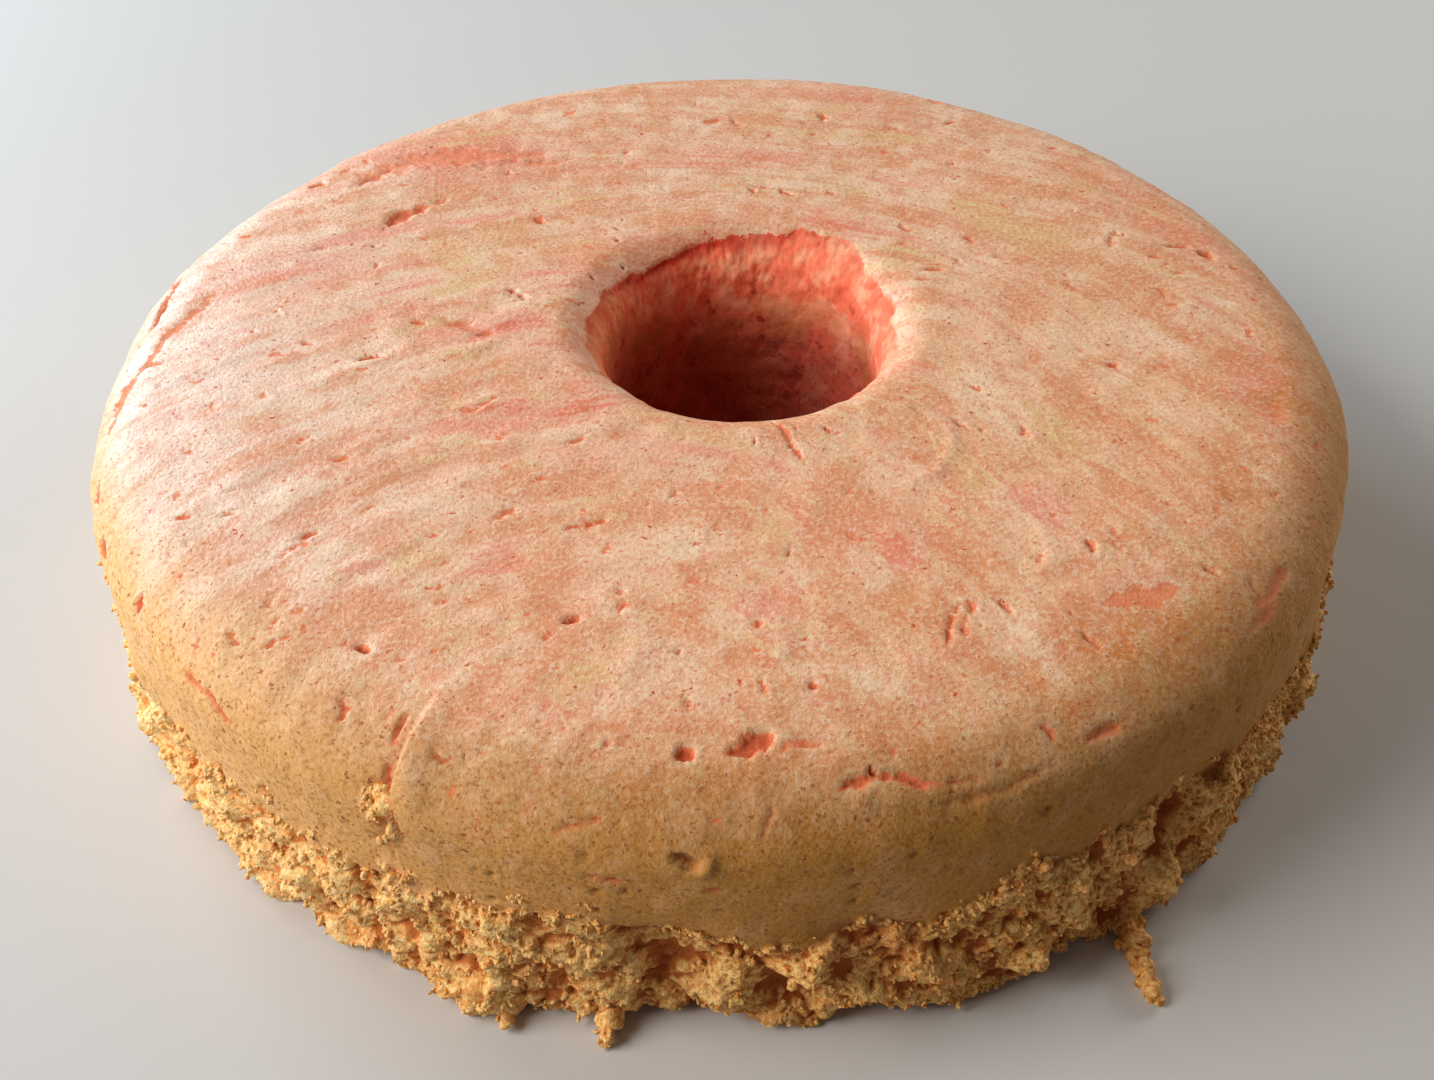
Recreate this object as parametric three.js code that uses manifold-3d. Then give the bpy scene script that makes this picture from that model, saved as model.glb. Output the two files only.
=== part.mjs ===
// A ring-shaped chiffon cake, turned out of its tube tin and lying upside down.
// The smooth crust that baked against the tin is on top and round the upper side.
// The lower side and the wall of the hole are torn crumb.
// Millimetres, +Z up, origin at the middle of the flat underside.

import * as THREE from 'three';
import { mergeVertices } from 'three/addons/utils/BufferGeometryUtils.js';
import Module from 'manifold-3d';

// Driving dimensions
const rimRadius = 122; // widest, just under the rounded top edge
const footRadius = 121.2; // where the torn side meets the underside
const cakeHeight = 55.5;
const edgeReach = 14; // the rounded edge takes this much of the top
const edgeDrop = 12; // and this much of the side
const crownHeight = 1.2; // how far the top swells between its edge and the hole
const tornHeight = 28; // mean height of the torn band above the underside
const tornWaves = [
  { count: 6, start: 0.9, rise: 2.4 },
  { count: 11, start: 2.2, rise: 1.6 },
];
const holeTopRadius = 28;
const holeFootRadius = 23;
const funnelRound = 10; // rounding between the top and the wall of the hole
const holeShift = new THREE.Vector2(5, 8); // the hole stands off the middle of the cake
const footBevel = 2; // the foot turns under into the flat underside
const outlineReach = 92; // the uneven outline fades out inwards at this radius
const shiftReach = 78; // the shift of the hole fades out at this radius

// Relief of the torn crumb and of the crust
const cragDepth = 3;
const cragSize = 11;
const cragletDepth = 1.3;
const cragletSize = 5;
const crustWave = 0.5;
const crustWaveSize = 34;
const crustLip = 0.9; // the crust stands this far proud of the torn band below it
const tearBelow = 3; // torn crumb turns into crust from this far below the boundary
const tearAbove = 1; // to this far above it
const holeRoughness = 0.9;

// Steps of the faceted surface
const angleSteps = 144;
const undersideSteps = 3;
const tornSteps = 9;
const crustSteps = 4;
const edgeSteps = 5;
const topSteps = 7;
const funnelSteps = 4;
const wallSteps = 4;

// Where the outline of the crust and of the torn foot leaves a true circle:
// middle and spread in degrees from +X towards +Y, and how far out in millimetres
const crustSwells = [
  { at: 28, spread: 12, out: -1.4 },
  { at: 88, spread: 11, out: 1.2 },
  { at: 140, spread: 8, out: -0.6 },
  { at: 167, spread: 5, out: 1.2 },
  { at: 353, spread: 6, out: 0.8 },
  { at: 336, spread: 8, out: -0.8 },
];
const footSwells = [
  { at: 30, spread: 9, out: 1.1 },
  { at: 62, spread: 7, out: -1.4 },
  { at: 104, spread: 9, out: 1.2 },
  { at: 151, spread: 8, out: -1.2 },
  { at: 209, spread: 4, out: 1.8 },
  { at: 219, spread: 5, out: -1.3 },
  { at: 228, spread: 4, out: 0.8 },
  { at: 249, spread: 4, out: 1.6 },
  { at: 269, spread: 9, out: -2.6 },
  { at: 291, spread: 7, out: 1.3 },
  { at: 317, spread: 4, out: 1.4 },
  { at: 330, spread: 5, out: -1 },
];

// Lumps (out > 0) and hollows (out < 0) of the side, in degrees and millimetres
const sideLumps = [
  { at: 333, height: 22, size: 4.5, out: 3.2 },
  { at: 211, height: 31, size: 5, out: 1.6 },
  { at: 249, height: 5, size: 5, out: 2.2 },
  { at: 215, height: 14, size: 6, out: -3.6 },
  { at: 244, height: 20, size: 5, out: -3 },
  { at: 258, height: 10, size: 5, out: -3 },
  { at: 265, height: 22, size: 6, out: -4 },
  { at: 279, height: 21, size: 7, out: -3.2 },
  { at: 276, height: 20, size: 4, out: 2.6 },
  { at: 309, height: 24, size: 5, out: -2.6 },
  { at: 306, height: 15, size: 5, out: 2.4 },
  { at: 20, height: 16, size: 7, out: -3 },
  { at: 75, height: 18, size: 7, out: -3.4 },
  { at: 118, height: 14, size: 6, out: 2.2 },
  { at: 132, height: 20, size: 7, out: -3.2 },
  { at: 176, height: 17, size: 6, out: -2.8 },
];

// The fold that runs over the top edge at the front left
const fold = { at: 244.5, spread: 8, depth: 1.4, lowest: 30, full: 40, inmost: 102 };

// Shape of every scrap: it narrows to its tip and its top, wavers and is lumpy
const scrapForm = { tip: 0.35, top: 0.4, waver: 0.8, wavers: 5, lumps: 0.22, lumpSize: 4 };

// Scraps of crumb that hang out from the foot and lie flat:
// where the scrap leaves the cake, which way it points, its length, width and thickness
const footScraps = [
  { at: 305.3, reach: 117, turn: -31, length: 9.5, width: 5, thickness: 3.6 },
  { at: 260.3, reach: 117, turn: 4, length: 7.5, width: 3.2, thickness: 2.6 },
  { at: 252.5, reach: 117, turn: 6, length: 6.5, width: 3.4, thickness: 4 },
  { at: 248.6, reach: 117, turn: 0, length: 7, width: 7, thickness: 4.5 },
];

const degrees = THREE.MathUtils.degToRad;
const { smoothstep, lerp } = THREE.MathUtils;

// Repeatable value from 0 to 1 at a point of the whole-number lattice
function latticeValue(x, y, z) {
  let mixed = Math.imul(x, 374761393) ^ Math.imul(y, 668265263) ^ Math.imul(z, 1274126177);
  mixed = Math.imul(mixed ^ (mixed >>> 13), 1103515245);
  mixed = Math.imul(mixed ^ (mixed >>> 15), 1274126177);
  return ((mixed ^ (mixed >>> 16)) >>> 0) / 4294967295;
}

// Smooth noise from -1 to 1 with lumps of the given size
function noise(point, size) {
  const cell = [point.x, point.y, point.z].map((value) => Math.floor(value / size));
  const part = [point.x, point.y, point.z].map((value, axis) => value / size - cell[axis]);
  const ease = part.map((value) => value * value * (3 - 2 * value));
  let sum = 0;
  for (let corner = 0; corner < 8; corner += 1) {
    const step = [corner & 1, (corner >> 1) & 1, corner >> 2];
    const weight = step.reduce((product, up, axis) => product * (up ? ease[axis] : 1 - ease[axis]), 1);
    sum += weight * latticeValue(cell[0] + step[0], cell[1] + step[1], cell[2] + step[2]);
  }
  return 2 * sum - 1;
}

// Signed difference of two directions in degrees, from -180 to 180
function turnBetween(angle, other) {
  return ((angle - other + 540) % 360) - 180;
}

function bell(distance, spread) {
  return Math.exp(-0.5 * (distance / spread) ** 2);
}

// Sum of the swells of an outline at a direction
function swell(angle, swells) {
  return swells.reduce((sum, { at, spread, out }) => sum + out * bell(turnBetween(angle, at), spread), 0);
}

// Radius of the plain side, before any relief
function sideRadius(height) {
  const straight = cakeHeight - edgeDrop;
  return lerp(footRadius, rimRadius, Math.min(height / straight, 1));
}

// Cross-section of one side of the ring, as a closed line of radius and height
function crossSection() {
  const line = [];
  const straight = cakeHeight - edgeDrop;
  for (let i = 0; i < undersideSteps; i += 1) {
    line.push([lerp(holeFootRadius, footRadius - footBevel, i / undersideSteps), 0]);
  }
  line.push([footRadius - footBevel, 0]);
  for (let i = 0; i < tornSteps; i += 1) {
    const height = lerp(footBevel, tornHeight, i / tornSteps);
    line.push([sideRadius(height), height]);
  }
  for (let i = 0; i < crustSteps; i += 1) {
    const height = lerp(tornHeight, straight, i / crustSteps);
    line.push([sideRadius(height), height]);
  }
  for (let i = 0; i < edgeSteps; i += 1) {
    const turn = (Math.PI / 2) * (i / edgeSteps);
    line.push([rimRadius - edgeReach * (1 - Math.cos(turn)), straight + edgeDrop * Math.sin(turn)]);
  }
  for (let i = 0; i < topSteps; i += 1) {
    line.push([lerp(rimRadius - edgeReach, holeTopRadius + funnelRound, i / topSteps), cakeHeight]);
  }
  for (let i = 0; i < funnelSteps; i += 1) {
    const turn = (Math.PI / 2) * (i / funnelSteps);
    const radius = holeTopRadius + funnelRound * (1 - Math.sin(turn));
    line.push([radius, cakeHeight - funnelRound * (1 - Math.cos(turn))]);
  }
  for (let i = 0; i < wallSteps; i += 1) {
    const share = i / wallSteps;
    line.push([lerp(holeTopRadius, holeFootRadius, share), lerp(cakeHeight - funnelRound, 0, share)]);
  }
  line.push(line[0]);
  return line.map(([radius, height]) => new THREE.Vector2(radius, height));
}

// Height at which the crust gives way to torn crumb, round the outside
function crustEdge(angle) {
  const rise = (sum, wave) => sum + wave.rise * Math.sin(wave.count * degrees(angle) + wave.start);
  return tornWaves.reduce(rise, tornHeight);
}

// Relief of the outer side along its normal
function sideRelief(point, angle) {
  const torn = 1 - smoothstep(point.z, crustEdge(angle) - tearBelow, crustEdge(angle) + tearAbove);
  const crags = cragDepth * noise(point, cragSize) + cragletDepth * noise(point, cragletSize);
  const wave = crustWave * noise(point, crustWaveSize);
  let relief = torn * (crags - crustLip + swell(angle, footSwells));
  relief += (1 - torn) * (wave + swell(angle, crustSwells));
  for (const { at, height, size, out } of sideLumps) {
    const along = degrees(turnBetween(angle, at)) * rimRadius;
    relief += out * bell(Math.hypot(along, point.z - height), size);
  }
  return relief;
}

// Depth of the fold: sharp on one flank, easing out on the other
function foldDepth(point, angle, radius) {
  const past = turnBetween(fold.at, angle);
  const flank = past > 0 ? Math.exp(-past / fold.spread) : 0;
  const ends = smoothstep(radius, fold.inmost, rimRadius - edgeReach / 2);
  return fold.depth * flank * ends * smoothstep(point.z, fold.lowest, fold.full);
}

// Moves a point of the plain ring to its place on the real, uneven one
function shaped(point, normal) {
  const angle = THREE.MathUtils.radToDeg(Math.atan2(point.y, point.x));
  const radius = Math.hypot(point.x, point.y);
  const outward = smoothstep(radius, outlineReach, rimRadius - edgeReach / 2);
  const inward = 1 - smoothstep(radius, holeTopRadius + funnelRound, shiftReach);
  const onTop = Math.max(normal.z, 0);
  const clearOfFloor = smoothstep(point.z, 0, footBevel);
  const side = outward * (1 - onTop) * sideRelief(point, angle);
  const wall = (1 - outward) * (1 - onTop) * holeRoughness * noise(point, cragSize);
  const dip = foldDepth(point, angle, radius);
  const moved = point.clone().addScaledVector(normal, clearOfFloor * (side + wall - dip));
  moved.z += clearOfFloor * onTop * (crustWave * noise(point, crustWaveSize) + crownHeight * (1 - outward));
  moved.x += holeShift.x * inward;
  moved.y += holeShift.y * inward;
  return moved;
}

// Applies a function of position and normal to every vertex and closes the surface
function reshape(geometry, move) {
  const { position, normal } = geometry.attributes;
  const point = new THREE.Vector3();
  const direction = new THREE.Vector3();
  for (let i = 0; i < position.count; i += 1) {
    const moved = move(point.fromBufferAttribute(position, i), direction.fromBufferAttribute(normal, i));
    position.setXYZ(i, moved.x, moved.y, moved.z);
  }
  geometry.deleteAttribute('normal');
  geometry.deleteAttribute('uv');
  return mergeVertices(geometry, 0.001);
}

function ringGeometry() {
  const ring = new THREE.LatheGeometry(crossSection(), angleSteps);
  ring.rotateX(Math.PI / 2);
  return reshape(ring, shaped);
}

// A flat-bottomed scrap of crumb that tapers away from the foot of the cake
function scrapGeometry({ at, reach, turn, length, width, thickness }) {
  const scrap = new THREE.BoxGeometry(length, width, thickness, 8, 2, 2);
  scrap.translate(length / 2, 0, thickness / 2);
  const shapedScrap = reshape(scrap, (point) => {
    const along = point.x / length;
    const up = point.z / thickness;
    const lumps = 1 + scrapForm.lumps * noise(point.clone().addScalar(at), scrapForm.lumpSize);
    const taper = (1 - scrapForm.tip * along * along) * lumps;
    const y = point.y * taper * (1 - scrapForm.top * up * up);
    const waver = scrapForm.waver * Math.sin(scrapForm.wavers * along);
    return new THREE.Vector3(point.x, y + waver, point.z * taper);
  });
  shapedScrap.rotateZ(degrees(at + turn));
  shapedScrap.translate(reach * Math.cos(degrees(at)), reach * Math.sin(degrees(at)), 0);
  return shapedScrap;
}

const wasm = await Module();
wasm.setup();

function toSolid(geometry) {
  const vertProperties = Float32Array.from(geometry.attributes.position.array);
  const triVerts = Uint32Array.from(geometry.index.array);
  return new wasm.Manifold(new wasm.Mesh({ numProp: 3, vertProperties, triVerts }));
}

function toGeometry(solid) {
  const { vertProperties, triVerts } = solid.getMesh();
  const geometry = new THREE.BufferGeometry();
  geometry.setAttribute('position', new THREE.BufferAttribute(vertProperties, 3));
  geometry.setIndex(new THREE.BufferAttribute(triVerts, 1));
  geometry.computeVertexNormals();
  return geometry;
}

function cakeMesh() {
  const scraps = footScraps.map((scrap) => toSolid(scrapGeometry(scrap)));
  const whole = scraps.reduce((solid, scrap) => solid.add(scrap), toSolid(ringGeometry()));
  const crust = new THREE.MeshStandardMaterial({ color: 0xc98f63, roughness: 0.75, metalness: 0 });
  const mesh = new THREE.Mesh(toGeometry(whole), crust);
  mesh.name = 'cake';
  return mesh;
}

const chiffonCake = new THREE.Group();
chiffonCake.add(cakeMesh());

export default chiffonCake;
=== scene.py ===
import math

import bmesh
import bpy
import numpy as np
from mathutils import Matrix, Vector


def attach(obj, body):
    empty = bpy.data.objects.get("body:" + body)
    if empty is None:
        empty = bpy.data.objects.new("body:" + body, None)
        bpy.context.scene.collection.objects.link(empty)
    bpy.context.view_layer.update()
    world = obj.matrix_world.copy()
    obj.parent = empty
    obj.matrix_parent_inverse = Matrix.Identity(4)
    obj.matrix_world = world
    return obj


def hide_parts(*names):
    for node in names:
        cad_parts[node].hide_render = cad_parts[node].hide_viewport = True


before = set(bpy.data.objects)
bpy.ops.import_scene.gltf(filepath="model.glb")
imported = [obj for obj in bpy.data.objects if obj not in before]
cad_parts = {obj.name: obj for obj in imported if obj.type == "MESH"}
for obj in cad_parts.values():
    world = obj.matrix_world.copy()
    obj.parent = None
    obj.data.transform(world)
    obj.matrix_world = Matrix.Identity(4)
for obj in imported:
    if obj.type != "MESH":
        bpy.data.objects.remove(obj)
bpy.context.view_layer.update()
print("frame loaded")

# A ring-shaped chiffon cake, lying upside down as it left its tube tin.
# Lengths are in millimetres until a mesh is made. Directions are in degrees from +X towards
# +Y. A place on the crust is (direction, reach): reach is measured along the surface, from
# the axis of the cake outwards over the top and down the side.
metre = 0.001

cake = {
    "rimRadius": 122.0,
    "footRadius": 121.2,
    "height": 55.5,
    "edgeReach": 14.0,
    "edgeDrop": 12.0,
    "crown": 1.2,
    "tornHeight": 28.0,
    "tornWaves": ((6, 0.9, 2.4), (11, 2.2, 1.6)),  # count, start, rise
    "holeTop": 28.0,
    "holeFoot": 23.0,
    "funnel": 10.0,
    "holeShift": (5.0, 8.0),
    "bevel": 2.0,
    "outlineReach": 92.0,
    "shiftReach": 78.0,
    "footInset": 14.0,
    "columns": 1152,
    "coarseUnder": 55,  # radius inside which the underside has fewer columns
    "fineOver": 88,  # radius outside which the top has all of them
    "tornSpare": 6,  # fine steps go on this far above the torn band
    "tornStep": 0.5,
    "sideStep": 0.66,
    "topStep": 0.95,
    "wallStep": 0.8,
    "undersideStep": 2.2,
}
straight = cake["height"] - cake["edgeDrop"]  # height where the rounded edge starts
flatReach = cake["rimRadius"] - cake["edgeReach"]  # where the rounded edge meets the top
mouthReach = cake["holeTop"] + cake["funnel"]

relief = {
    # layers of noise: the seed, size and height of each
    "crags": ((0, 11.0, 3.0), (0, 5.0, 1.3)),
    "wave": ((0, 34.0, 0.5),),
    "holeWave": ((0, 11.0, 0.9),),
    "lip": 0.9,  # how far the crust stands out over the torn band
}

# the outline leaves a true circle: middle, spread (degrees), how far out (mm)
crustSwells = (
    (28, 12, -1.4), (88, 11, 1.2), (140, 8, -0.6), (167, 5, 1.2), (353, 6, 0.8),
    (336, 8, -0.8),
)
footSwells = (
    (30, 9, 1.1), (62, 7, -1.4), (104, 9, 1.2), (151, 8, -1.2), (209, 4, 1.8),
    (219, 5, -1.3), (228, 4, 0.8), (249, 4, 1.6), (269, 9, -2.6), (291, 7, 1.3),
    (317, 4, 1.4), (330, 5, -1),
)
# lumps and hollows of the side: direction, height, size, how far out
sideLumps = (
    (333, 22, 4.5, 3.2), (211, 31, 5, 1.6), (249, 5, 5, 2.2), (215, 14, 6, -3.6),
    (244, 20, 5, -3), (258, 10, 5, -3), (265, 22, 6, -4), (279, 21, 7, -3.2),
    (276, 20, 4, 2.6), (309, 24, 5, -2.6), (306, 15, 5, 2.4), (20, 16, 7, -3),
    (75, 18, 7, -3.4), (118, 14, 6, 2.2), (132, 20, 7, -3.2), (176, 17, 6, -2.8),
)
# the soft fold in front: direction, how far it fades, depth, heights and radius it starts at
fold = {
    "at": 244.5,
    "spread": 8.0,
    "depth": 1.4,
    "lowest": 30.0,
    "full": 40.0,
    "inmost": 102.0,
}


# Noise on arrays of points

def latticeValue(x, y, z):
    # repeatable value from 0 to 1 at whole-number points
    primes = (374761393, 668265263, 1274126177, 1103515245)
    factors = [np.uint32(value) for value in primes]
    mixed = x.astype(np.uint32) * factors[0]
    mixed ^= y.astype(np.uint32) * factors[1]
    mixed ^= z.astype(np.uint32) * factors[2]
    mixed = (mixed ^ (mixed >> np.uint32(13))) * factors[3]
    mixed = (mixed ^ (mixed >> np.uint32(15))) * factors[2]
    return (mixed ^ (mixed >> np.uint32(16))) / 4294967295.0


def noise(points, size):
    # smooth noise from -1 to 1 with lumps of the given size
    scaled = points / size
    cell = np.floor(scaled).astype(np.int64)
    part = scaled - cell
    ease = part * part * (3 - 2 * part)
    total = np.zeros(len(points))
    for corner in range(8):
        step = np.array([corner & 1, (corner >> 1) & 1, corner >> 2])
        weight = np.where(step, ease, 1 - ease).prod(1)
        total += weight * latticeValue(*(cell + step).T)
    return 2 * total - 1


def layered(points, layers):
    return sum(height * noise(points + seed, size) for seed, size, height in layers)


def cellDistance(points, size, seed=0):
    # distance to the nearest scattered point, in cell sizes, and that point's own value
    scaled = points / size + seed * 37.3
    cell = np.floor(scaled).astype(np.int64)
    nearest = np.full(len(points), 9.0)
    value = np.zeros(len(points))
    for step in np.ndindex(3, 3, 3):
        corner = cell + np.array(step) - 1
        x, y, z = corner.T
        offset = [latticeValue(x, y, z + 11 * axis) for axis in (1, 2, 3)]
        spot = corner + np.stack(offset, 1)
        distance = np.sqrt(((scaled - spot) ** 2).sum(1))
        closer = distance < nearest
        nearest = np.where(closer, distance, nearest)
        value = np.where(closer, latticeValue(x + 5, y, z), value)
    return nearest, value


def smoothstep(value, low, high):
    share = np.clip((value - low) / (high - low), 0, 1)
    return share * share * (3 - 2 * share)


def bell(distance, spread):
    return np.exp(-0.5 * (distance / spread) ** 2)


def turnBetween(angle, other):
    return (angle - other + 540) % 360 - 180


def around(angle, at, spread):
    # 1 in one direction, fading to both sides of it
    return bell(turnBetween(angle, at), spread)


def swell(angle, swells):
    return sum(out * around(angle, at, spread) for at, spread, out in swells)


def awayFrom(angle, at, arm, rise):
    # distance to a place in direction at, on a surface arm away from the axis
    return np.hypot(np.radians(turnBetween(angle, at)) * arm, rise)


def lump(angle, height, at, up, size, out):
    # a round lump of the side, or a hollow where out is below 0
    return out * bell(awayFrom(angle, at, cake["rimRadius"], height - up), size)


# The plain ring: rings of points from the hole's foot, out under the cake, up the side,
# over the edge, in across the top and down the hole

def evenSteps(length, step):
    count = max(2, round(length / step))
    return np.arange(count) / count


def ringRows():
    form = cake
    columns = form["columns"]
    rows = []  # radius, height, reach, columns
    slant = form["rimRadius"] - form["footRadius"]
    sideLength = math.hypot(straight, slant)
    turns = np.linspace(0, math.pi / 2, 200)
    across = np.diff(form["edgeReach"] * np.cos(turns))
    steps = np.hypot(across, np.diff(form["edgeDrop"] * np.sin(turns)))
    edgeLength = steps.sum()
    footReach = flatReach + edgeLength + sideLength
    bevel = form["bevel"]
    footInner = form["footRadius"] - bevel
    for share in evenSteps(footInner - form["holeFoot"], form["undersideStep"]):
        radius = form["holeFoot"] + share * (footInner - form["holeFoot"])
        count = columns // 4 if radius < form["coarseUnder"] else columns // 2
        rows.append((radius, 0.0, footReach + footInner - radius, count))
    for share in evenSteps(bevel * 1.4, form["tornStep"]):
        rise = share * bevel
        rows.append((footInner + rise, rise, footReach - rise, columns))
    tornTop = form["tornHeight"] + form["tornSpare"]
    for low, high, step in ((bevel, tornTop, "tornStep"), (tornTop, straight, "sideStep")):
        for share in evenSteps(high - low, form[step]):
            height = low + share * (high - low)
            radius = form["footRadius"] + slant * height / straight
            rows.append((radius, height, footReach - height, columns))
    for share in evenSteps(edgeLength, form["sideStep"]):
        gone = share * edgeLength
        turn = np.interp(gone, np.concatenate([[0], np.cumsum(steps)]), turns)
        radius = form["rimRadius"] - form["edgeReach"] * (1 - math.cos(turn))
        height = straight + form["edgeDrop"] * math.sin(turn)
        rows.append((radius, height, flatReach + edgeLength - gone, columns))
    for share in evenSteps(flatReach - mouthReach, form["topStep"]):
        radius = flatReach + share * (mouthReach - flatReach)
        count = columns if radius > form["fineOver"] else columns // 2
        rows.append((radius, form["height"], radius, count))
    funnel = form["funnel"]
    for share in evenSteps(funnel * math.pi / 2, form["sideStep"]):
        turn = share * math.pi / 2
        radius = form["holeTop"] + funnel * (1 - math.sin(turn))
        height = form["height"] - funnel * (1 - math.cos(turn))
        rows.append((radius, height, mouthReach - turn * funnel, columns // 2))
    wallHeight = form["height"] - funnel
    wallReach = mouthReach - funnel * math.pi / 2
    for share in evenSteps(wallHeight, form["wallStep"]):
        radius = form["holeTop"] + share * (form["holeFoot"] - form["holeTop"])
        reach = wallReach - share * wallHeight
        rows.append((radius, wallHeight * (1 - share), reach, columns // 4))
    return rows


def ringGrid(rows):
    # the points of all rings with what is known of each, and the faces between the rings
    radius, height, reach, count = (np.array(column) for column in zip(*rows))
    count = count.astype(int)
    starts = np.concatenate([[0], np.cumsum(count)])
    across = np.roll(radius, -1) - np.roll(radius, 1)
    up = np.roll(height, -1) - np.roll(height, 1)
    length = np.hypot(across, up)
    ring = np.repeat(np.arange(len(rows)), count)
    angle = np.concatenate([np.arange(n) * 360 / n for n in count])
    turn = np.radians(angle)
    circle = np.stack([np.cos(turn), np.sin(turn)], 1)
    points = np.column_stack([circle * radius[ring, None], height[ring]])
    outward, upward = (up / length)[ring], -(across / length)[ring]
    normals = np.column_stack([circle * outward[:, None], upward])
    faces = []
    for row in range(len(rows)):
        after = (row + 1) % len(rows)
        here, there = count[row], count[after]
        shared = np.arange(min(here, there))
        if here == there:
            step = (shared + 1) % here
            low, high = starts[row], starts[after]
            quad = (low + shared, low + step, high + step, high + shared)
            faces.append(np.stack(quad, 1))
            continue
        fine, coarse = (row, after) if here > there else (after, row)
        middle = starts[fine] + 2 * shared
        ends = starts[fine] + (2 * shared + np.array([[1], [2]])) % count[fine]
        near = starts[coarse] + shared
        far = starts[coarse] + (shared + 1) % count[coarse]
        fans = [(middle, ends[0], near), (ends[0], far, near), (ends[0], ends[1], far)]
        for a, b, c in fans:
            order = (a, b, c) if fine == row else (b, a, c)
            faces.append(np.stack(order, 1))
    return points, normals, angle, reach[ring], faces


def crustEdge(angle):
    turn = np.radians(angle)
    waves = [rise * np.sin(count * turn + start) for count, start, rise in cake["tornWaves"]]
    return cake["tornHeight"] + sum(waves)


def surfacePoint(rows, direction, reach):
    # plain points at places given by direction and reach
    radius, height, reaches, _ = (np.array(column) for column in zip(*rows))
    order = np.argsort(reaches)
    at = np.interp(reach, reaches[order], radius[order])
    up = np.interp(reach, reaches[order], height[order])
    turn = np.radians(direction)
    return np.column_stack([at * np.cos(turn), at * np.sin(turn), up])


def lineDistance(points, line):
    # distance to a line through several points, and how far along it, from 0 to 1
    best = np.full(len(points), 1e9)
    along = np.zeros(len(points))
    lengths = np.linalg.norm(np.diff(line, axis=0), axis=1)
    gone = np.concatenate([[0], np.cumsum(lengths)])
    for start, end, before, length in zip(line[:-1], line[1:], gone, lengths):
        way = end - start
        share = np.clip((points - start) @ way / max(length, 1e-6) ** 2, 0, 1)
        distance = np.linalg.norm(points - start - share[:, None] * way, axis=1)
        closer = distance < best
        best = np.where(closer, distance, best)
        along = np.where(closer, (before + share * length) / max(gone[-1], 1e-6), along)
    return best, along


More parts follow.
